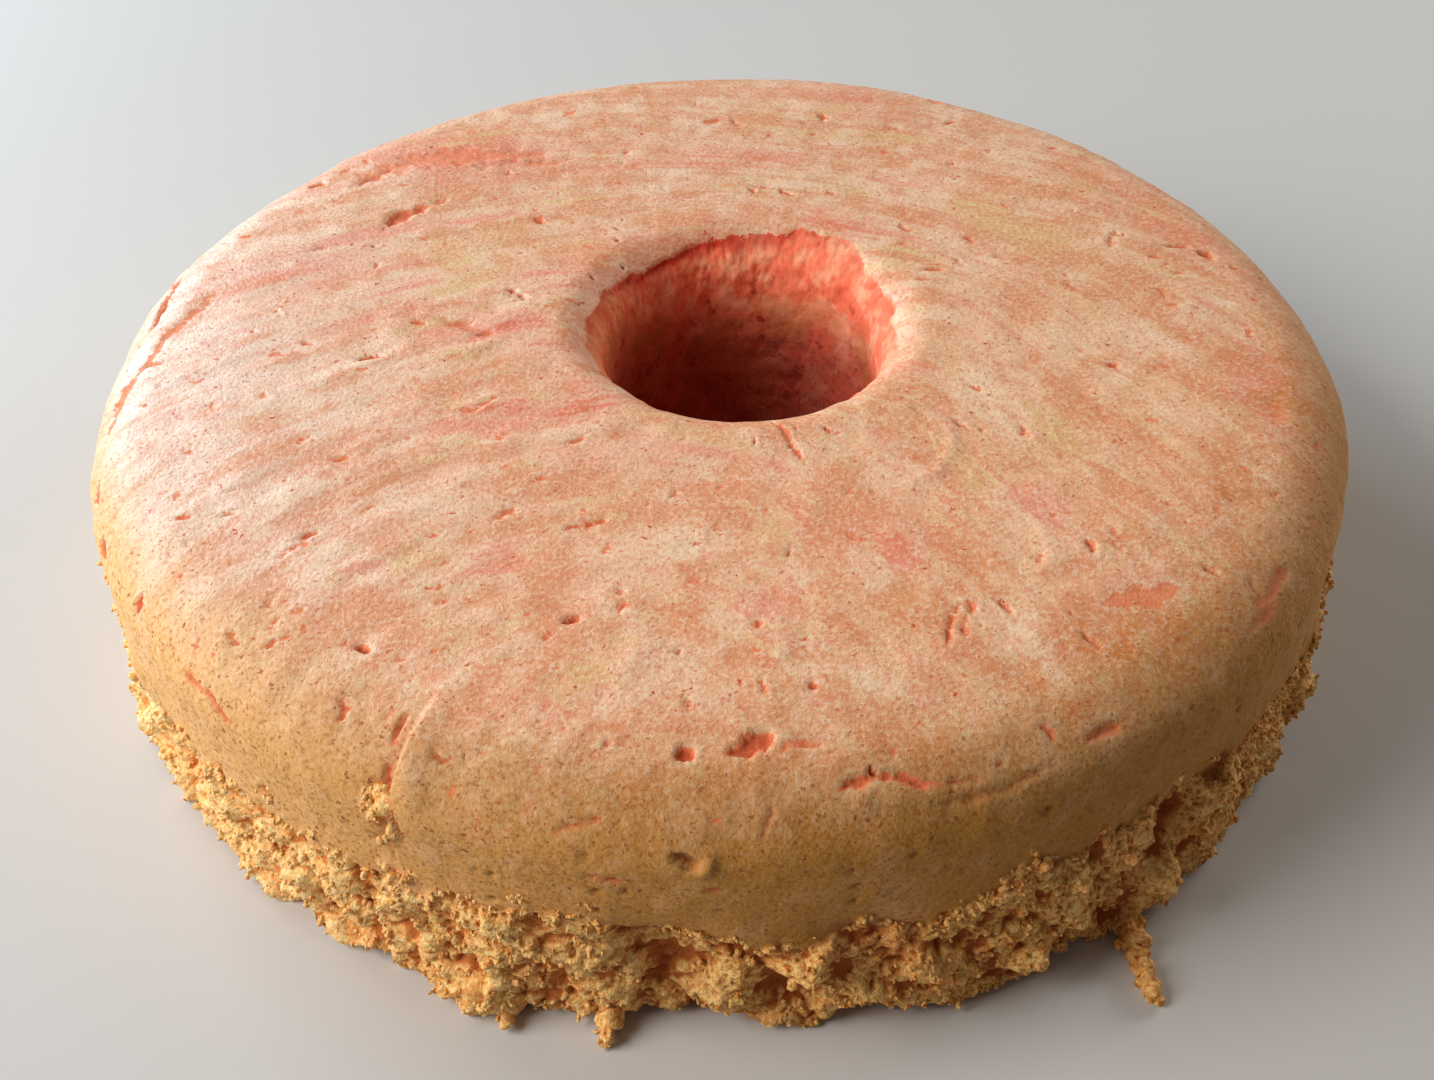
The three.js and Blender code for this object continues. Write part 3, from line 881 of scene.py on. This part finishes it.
def spongeMaterial():
    look = spongeLook
    material = bpy.data.materials.new("chiffonSponge")
    material.use_nodes = True
    shader = material.node_tree.nodes["Principled BSDF"]
    tree = Wire(material.node_tree)
    place = tree.node("ShaderNodeTexCoord", {}, {}, "Object")

    def known(name, output="Fac"):
        return tree.node("ShaderNodeAttribute", {"attribute_name": name}, {}, output)

    def noiseOf(vector, size, detail, roughness, output=0):
        inputs = {"Vector": vector, "Scale": 1 / size, "Detail": detail, "Roughness": roughness}
        return tree.node("ShaderNodeTexNoise", {}, inputs, output)

    size, reach = look["uneven"]
    uneven = noiseOf(place, size * metre, 0.0, 0.5, "Color").shifted((-0.5, -0.5, -0.5))
    warped = place.shifted(uneven.scaled(reach * metre))

    def cellsOf(size):
        inputs = {"Vector": warped, "Scale": 1 / (size * metre), "Randomness": 1.0}
        return tree.node("ShaderNodeTexVoronoi", {"feature": "F1"}, inputs, "Distance")

    def ownValue(cell):
        own = Wire(cell.tree, cell.socket.node.outputs["Color"])
        return own.node("ShaderNodeSeparateColor", {}, {"Color": own})

    def poresOf(size, radius, rare):
        # small uneven pores and their rims, in the cells whose own value is over rare
        cell = cellsOf(size)
        own = ownValue(cell).smooth(rare, 1.3)
        away = cell - own * (radius / size)
        return away.smooth(0.05, -0.05), away.smooth(0.22, 0.04) * own

    # a colour's paler copy for the lit left or darker copy for the shaded right: painted light
    # and shade
    def sided(name):
        return shadedSide.blend(*look[name])

    streak = known("streak", "Vector")
    bare, pale, sunk, browned, depth, shadedSide, pink = (
        known(name) for name in ("bare", "pale", "sunk", "browned", "depth", "shadedSide", "pink")
    )
    wide = noiseOf(streak, 1.0, 3.0, 0.6)
    wider = noiseOf(streak.scaled(flow["finer"]), 1.0, 3.0, 0.6)
    grain = noiseOf(place, look["grainSize"] * metre, 2.0, 0.7)
    mottle = noiseOf(place, look["mottleSize"] * metre, 2.0, 0.6)
    blotch = noiseOf(warped, look["blotchSize"] * metre, 2.0, 0.65)
    granule = cellsOf(look["granule"])
    bubble = ownValue(granule) * granule.smooth(0.5, 0.1)
    granule = 1 - granule * granule
    ragged = (grain - 0.5) * look["ragged"]
    torn = (known("tornEdge") + ragged).smooth(-0.1, 0.15)
    hollow = (known("holeEdge") + ragged).smooth(-0.1, 0.15)
    edge = known("splitEdge") + ragged * 0.4 + (mottle - 0.5) * 1.0
    crisp = bare.smooth(0.5, 0.7)
    soft = (edge + mottle * 2.0).smooth(1.2, -0.6) * (1 - crisp)
    split = edge.smooth(0.14, -0.14) * crisp + soft
    pore, rim = poresOf(*look["pore"])
    pores = (bubble.smooth(0.5, 0.7) * 0.5 + pore).clipped()
    rims = rim.clipped() * (1 - pores)
    # short thin cracks: stretches of the level lines of a noise
    level = noiseOf(warped, look["crackSize"] * metre, 1.0, 0.7) - 0.5
    spread = mottle.smooth(0.51, 0.64) * look["crackWidth"]
    cracks = (level.math("ABSOLUTE", level) - spread).smooth(0.0, -0.006)

    # the skin, from its own colour through the stains to pores and cracks, with painted light
    # and shade
    tone = (wide * 0.5 + mottle * 0.7 + blotch * 0.6 + wider * 0.5) * (1 / 2.3)
    skin = tone.smooth(0.43, 0.575).blend(sided("peach"), sided("peachPale"))
    pinks = 0.7 * wide.smooth(0.52, 0.66) * blotch.smooth(0.4, 0.6)
    tints = {
        "pink": pink * (mottle + 0.4) + pinks,
        "beige": (known("beige") + 0.7 * wider.smooth(0.52, 0.66)) * blotch.smooth(0.6, 0.4),
        # orange stains, with more orange on the shaded right as painted shade
        "orange": (known("orange") + shadedSide * 0.4) * mottle.smooth(0.4, 0.6),
    }
    for name, amount in tints.items():
        skin = amount.clipped().blend(skin, look[name])
    # painted sheen: a whitish patch on the left of the top
    paintedSheen = known("paintedSheen") * wider.smooth(0.3, 0.7) * 0.65
    skin = paintedSheen.blend(skin, look["paintedSheen"])
    # browned side crust, much darker on the shaded right as painted shade
    skin = (browned * (1.0 - tone.smooth(0.48, 0.6) * 0.25)).blend(skin, sided("browned"))
    # painted highlight on the crests of ridges and the lips of cracks, with pale pore rims and
    # specks
    light = pale * 0.45 + rims * 0.2 + grain.smooth(0.5, 0.66) * 0.4
    light = light * (1 - browned * (shadedSide * 0.5 + 0.3))
    skin = light.clipped().blend(skin, look["pale"])
    shade = (bubble * 0.3 + (1 - grain.smooth(0.32, 0.46)) * 0.35) * (browned * 0.5 + 1)
    # painted shade in hollows of the crust
    shade = shade + sunk.smooth(0.55, 0.8) * 0.5
    shade = (pores * (browned * 0.2 + 0.6) + shade).clipped()
    skin = shade.blend(skin, browned.blend(*look["poreTint"]))
    skin = (cracks * (1 - browned * 0.6)).blend(skin, look["crackTint"])
    # painted shade: bare crumb in cracks is darker where it sits deep
    crackShade = (sunk.smooth(0.55, 1.0) * 0.6 + (1 - grain.smooth(0.3, 0.55)) * 0.4).clipped()
    skin = (split * bare).blend(skin, crackShade.blend(look["bare"], look["bareShade"]))

    # the torn crumb: painted highlight on raised tips, painted shade in cavities and gaps
    crumbs = grain.smooth(0.42, 0.62) * 0.55 + granule.smooth(0.6, 0.95) * 0.35
    # painted highlight on raised tips
    crumbs = (crumbs + sunk.smooth(0.42, 0.2) * 0.3).clipped()
    crumbs = crumbs.blend(sided("crumb"), sided("crumbLight"))
    pinks = (mottle.smooth(0.5, 0.75) * 0.3 + pink * 0.7).clipped()
    crumbs = pinks.blend(crumbs, look["crumbPink"])
    # painted shade in cavities and between grains
    gapShade = sunk.smooth(0.52, 0.84) + granule.smooth(0.65, 0.3) * 0.45
    gapShade = gapShade + grain.smooth(0.46, 0.32) * 0.35
    crumbs = gapShade.clipped().blend(crumbs, sided("crumbShade"))

    # the wall of the hole, with painted shade under its lip, on its left and lower down
    wall = mottle.smooth(0.45, 0.62).blend(look["hole"], look["holeLight"])
    # tan patches lower down, and painted shade on the left side of the wall
    tanAndShade = blotch.smooth(0.46, 0.58) * depth.smooth(0.1, 0.4) + known("holeLeftShade") * 0.7
    wall = (tanAndShade * 0.8).clipped().blend(wall, look["holeBeige"])
    # red mottle, and painted shade in dark red under the lip
    lip = known("holeEdge").smooth(3.0, 0.6) * known("underLipShade") + mottle.smooth(0.42, 0.3) * 0.5
    wall = (lip * (1 - shadedSide * 0.5)).clipped().blend(wall, look["holeRedAndLipShade"])
    # painted shade: darker patches and a darker wall lower down the hole
    dark = mottle.smooth(0.37, 0.3) * depth.smooth(0.1, 0.3)
    wall = dark.blend(wall, look["holeDeepShade"])
    deep = sunk.smooth(0.55, 1.0) * 0.4 + depth.smooth(0.08, 0.5) * 0.82
    deep = deep + granule.smooth(0.6, 0.3) * 0.15
    wall = deep.clipped().blend(wall, look["holeDeepShade"])
    colour = torn.blend(hollow.blend(skin, wall), crumbs)

    rough = (torn + hollow + split).clipped()
    porous = (rough + pores + cracks).clipped()
    dull = (porous + browned * 0.4 + shadedSide * 0.6).clipped()
    smooth = look["crustRoughness"]
    roughness = smooth + dull * (look["crumbRoughness"] - smooth)
    strength, rise = look["bump"]
    height = grain * (known("tornEdge").smooth(0, 1) + 0.7)
    inputs = {"Strength": strength, "Distance": rise * metre, "Height": height}
    bump = tree.node("ShaderNodeBump", {}, inputs, "Normal")
    ends = {"Base Color": colour, "Roughness": roughness, "Normal": bump}
    for name, wire in ends.items():
        material.node_tree.links.new(wire.socket, shader.inputs[name])
    shader.inputs["Specular IOR Level"].default_value = look["specular"]
    return material


def makeCake(material):
    rows = ringRows()
    points, normals, angle, reach, faces = ringGrid(rows)
    placed, known = shapedRing(rows, points, normals, angle, reach, faces)
    body = meshPiece("chiffonRing", placed, faces, material, known)
    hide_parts("cake")
    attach(body, "root")
    print("cake made,", len(body.data.polygons), "faces")
    outward = np.empty(len(placed) * 3, np.float32)
    body.data.vertex_normals.foreach_get("vector", outward)
    return placed, outward.reshape(-1, 3), known


# Loose-looking crumbs that cling to the torn sponge, in short strings of beads
crumbs = {
    "seed": 7,
    # strings, beads in each, smallest and largest radius, rounds of splitting of each bead
    "kinds": {
        "coarseCrumbs": (760, 3, 0.35, 0.85, 2),
        "middleCrumbs": (3300, 2, 0.3, 0.6, 1),
        "fineCrumbs": (3200, 3, 0.2, 0.42, 1),
    },
    "sunkBy": 0.35,  # share of its radius that the first bead sits in the sponge
    "spacing": 1.15,  # of the radius, between beads
    "smaller": (0.72, 1.1),  # each bead than the one before
    "uneven": 0.4,
    "edgeMore": 2,  # how much more often they sit along the broken edge of the crust
}


def beadShape(splits):
    ball = bmesh.new()
    bmesh.ops.create_icosphere(ball, subdivisions=splits, radius=1)
    points = np.array([vertex.co for vertex in ball.verts])
    corners = np.array([[vertex.index for vertex in face.verts] for face in ball.faces])
    ball.free()
    return points, corners


def beadStrings(draw, seats, outward, kind):
    # centres, radii and the string's own value of the beads of one kind
    strings, beads, small, large, _ = kind
    chosen = draw.integers(0, len(seats), strings)
    place, heading = seats[chosen], outward[chosen] + draw.normal(0, 0.9, (strings, 3))
    radius = small + (large - small) * draw.random(strings) ** 1.6
    place = place - outward[chosen] * (crumbs["sunkBy"] * radius)[:, None]
    centres, radii = [], []
    for _ in range(beads):
        centres.append(place)
        radii.append(radius)
        heading = heading / np.linalg.norm(heading, axis=1, keepdims=True)
        radius = radius * draw.uniform(*crumbs["smaller"], strings)
        place = place + heading * (radius * crumbs["spacing"])[:, None]
        heading = heading + draw.normal(0, 0.7, (strings, 3)) - 0.25 * outward[chosen]
    own = np.tile(draw.random(strings), beads)
    return np.concatenate(centres), np.concatenate(radii), own


def beadMeshes(draw, centre, radius, splits, uneven):
    # points and faces of uneven balls
    ball, corners = beadShape(splits)
    stretch = draw.uniform(0.7, 1.3, (len(centre), 1, 3))
    wobble = np.array([noise(ball * 1.3 + 9 * step, 1.0) for step in centre])
    local = ball[None] * stretch * (1 + uneven * wobble[..., None])
    points = centre[:, None] + local * radius[:, None, None]
    points[..., 2] = np.maximum(points[..., 2], 0)
    first = np.arange(len(centre)) * len(ball)
    return points.reshape(-1, 3), (corners[None] + first[:, None, None]).reshape(-1, 3)


def crumbPiece(name, material, parts):
    # one piece from points, faces and each point's own value
    shapes, faces, own = zip(*parts)
    points = np.concatenate(shapes)
    starts = np.cumsum([0] + [len(shape) for shape in shapes])
    faces = [corners + start for corners, start in zip(faces, starts)]
    total = len(points)
    known = {
        "tornEdge": np.full(total, 3.0),
        "holeEdge": np.full(total, -3.0),
        "splitEdge": np.full(total, 3.0),
        "sunk": 0.22 + 0.3 * np.concatenate(own),
        "shadedSide": shadedSideShare(points),
    }
    piece = meshPiece(name, points, faces, material, known)
    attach(piece, "root")
    print(name, "made,", len(piece.data.polygons), "faces")


def makeCrumbs(material, placed, outward, known):
    draw = np.random.default_rng(crumbs["seed"])
    onCrumb = (known["tornEdge"] > -0.5) & (placed[:, 2] > 0.5) & (known["sunk"] < 0.65)
    seats = np.flatnonzero(onCrumb)
    onEdge = seats[known["tornEdge"][seats] < 1.2]
    seats = np.concatenate([seats, np.repeat(onEdge, crumbs["edgeMore"])])
    for name, kind in crumbs["kinds"].items():
        centre, radius, own = beadStrings(draw, placed[seats], outward[seats], kind)
        points, faces = beadMeshes(draw, centre, radius, kind[4], crumbs["uneven"])
        own = np.repeat(own, len(points) // len(centre))
        crumbPiece(name, material, [(points, faces, own)])


# Torn scraps that stick out at the foot: a line through each, its radius at both ends
scraps = {
    "seed": 23,
    "lines": (
        (((66.5, -94, 3.4), (68.6, -99, 2.6), (70, -107, 2), (70.9, -115.5, 1.6)), (2.1, 1.2)),
        (((69.4, -105, 1.2), (71.7, -115.7, 1)), (1.2, 1.1)),
        (((68.5, -100, 2.4), (71.6, -100.8, 2)), (1.4, 0.9)),
        (((69, -104.5, 2), (66.9, -105.2, 1.6)), (1.2, 0.8)),
        (((-41.5, -112, 3.6), (-42.6, -114.5, 2.4)), (2.8, 2)),
        (((-37.2, -114, 3.2), (-37.6, -117.4, 1.8)), (2.4, 1.3)),
        (((-45.5, -110, 4), (-48, -112.5, 2.6)), (2.4, 1.6)),
        (((-20.4, -117.5, 3), (-20.6, -120, 2), (-20.8, -122.2, 1)), (1.9, 0.8)),
    ),
    "spacing": 0.4,  # of the radius, between lumps
    "scatter": 0.22,
    "strings": 22,  # of small crumbs on each 10 mm
    "kind": (5, 0.25, 0.55, 1),  # as for the crumbs, from the beads in each string on
    "uneven": 0.45,
}


def makeScraps(material):
    look = scraps
    draw = np.random.default_rng(look["seed"])
    parts = []
    for places, ends in look["lines"]:
        line = np.array(places, float)
        lengths = np.linalg.norm(np.diff(line, axis=0), axis=1)
        gone = np.concatenate([[0], np.cumsum(lengths)])
        length = gone[-1]
        lumps = 2 + round(length / (look["spacing"] * np.mean(ends)))
        along = np.linspace(0, length, lumps)
        centre = np.stack([np.interp(along, gone, line[:, axis]) for axis in range(3)], 1)
        radius = np.interp(along, (0, length), ends) * draw.uniform(0.75, 1.15, lumps)
        centre += look["scatter"] * radius[:, None] * draw.normal(0, 1, (lumps, 3))
        points, faces = beadMeshes(draw, centre, radius, 3, look["uneven"])
        each = len(points) // lumps
        parts.append((points, faces, np.repeat(draw.random(lumps), each)))
        outward = points - np.repeat(centre, each, 0)
        outward /= np.linalg.norm(outward, axis=1, keepdims=True)
        kind = (max(5, round(length * look["strings"] / 10)), *look["kind"])
        small, size, own = beadStrings(draw, points, outward, kind)
        points, faces = beadMeshes(draw, small, size, kind[4], look["uneven"])
        parts.append((points, faces, np.repeat(own, len(points) // len(small))))
    crumbPiece("footScraps", material, parts)


sponge = spongeMaterial()
placedPoints, outwardNormals, cakeKnown = makeCake(sponge)
makeCrumbs(sponge, placedPoints, outwardNormals, cakeKnown)
makeScraps(sponge)

# Studio: a pale floor, soft window light from the left, bluish light from behind on the
# left, and weak light from behind on the right
studio = {
    "floorSize": 6.0,
    "floorColour": paint(204, 202, 198),
    "floorRoughness": 0.7,
    # name: place, size, watts, colour
    "lights": {
        "windowLight": ((-1.0, -0.3, 0.76), (0.8, 0.8), 17, (1, 0.97, 0.95)),
        "backLight": ((-0.95, 0.9, 0.45), (0.8, 0.5), 16, (0.72, 0.86, 1)),
        "sideLight": ((1.0, 0.65, 0.45), (0.6, 0.5), 6.5, (1, 0.95, 0.88)),
    },
    "room": {"Color": (1, 0.96, 0.9, 1), "Strength": 0.09},
    "camera": {
        "at": (-0.00085, -0.2860, 0.2557),
        "down": 41.37,
        "roll": 1.11,
        "focalPixels": 1762.0,
        "widePixels": 1434.0,
    },
}


def makeStudio():
    size = studio["floorSize"]
    mesh = bpy.data.meshes.new("floor")
    corners = [(-size, -size, 0), (size, -size, 0), (size, size, 0), (-size, size, 0)]
    mesh.from_pydata(corners, [], [(0, 1, 2, 3)])
    material = bpy.data.materials.new("paleFloor")
    material.use_nodes = True
    shader = material.node_tree.nodes["Principled BSDF"]
    shader.inputs["Base Color"].default_value = studio["floorColour"]
    shader.inputs["Roughness"].default_value = studio["floorRoughness"]
    mesh.materials.append(material)
    floor = bpy.data.objects.new("floor", mesh)
    bpy.context.scene.collection.objects.link(floor)
    for name, (place, size, watts, colour) in studio["lights"].items():
        lamp = bpy.data.lights.new(name, "AREA")
        lamp.shape = "RECTANGLE"
        lamp.size, lamp.size_y = size
        lamp.energy = watts
        lamp.color = colour
        light = bpy.data.objects.new(name, lamp)
        light.location = place
        light.rotation_euler = (-Vector(place)).to_track_quat("-Z", "Y").to_euler()
        bpy.context.scene.collection.objects.link(light)
    world = bpy.data.worlds.new("paleRoom")
    world.use_nodes = True
    for name, value in studio["room"].items():
        world.node_tree.nodes["Background"].inputs[name].default_value = value
    bpy.context.scene.world = world
    bpy.context.scene.view_settings.view_transform = "Standard"


def makeCamera():
    view = studio["camera"]
    lens = bpy.data.cameras.new("photoCamera")
    lens.sensor_width = 36
    lens.lens = view["focalPixels"] / view["widePixels"] * lens.sensor_width
    lens.clip_start = 0.01
    camera = bpy.data.objects.new("photoCamera", lens)
    tilt = Matrix.Rotation(math.radians(90 - view["down"]), 4, "X")
    roll = Matrix.Rotation(-math.radians(view["roll"]), 4, "Z")
    camera.matrix_world = Matrix.Translation(view["at"]) @ tilt @ roll
    bpy.context.scene.collection.objects.link(camera)
    bpy.context.scene.camera = camera


makeStudio()
makeCamera()
print("studio ready")
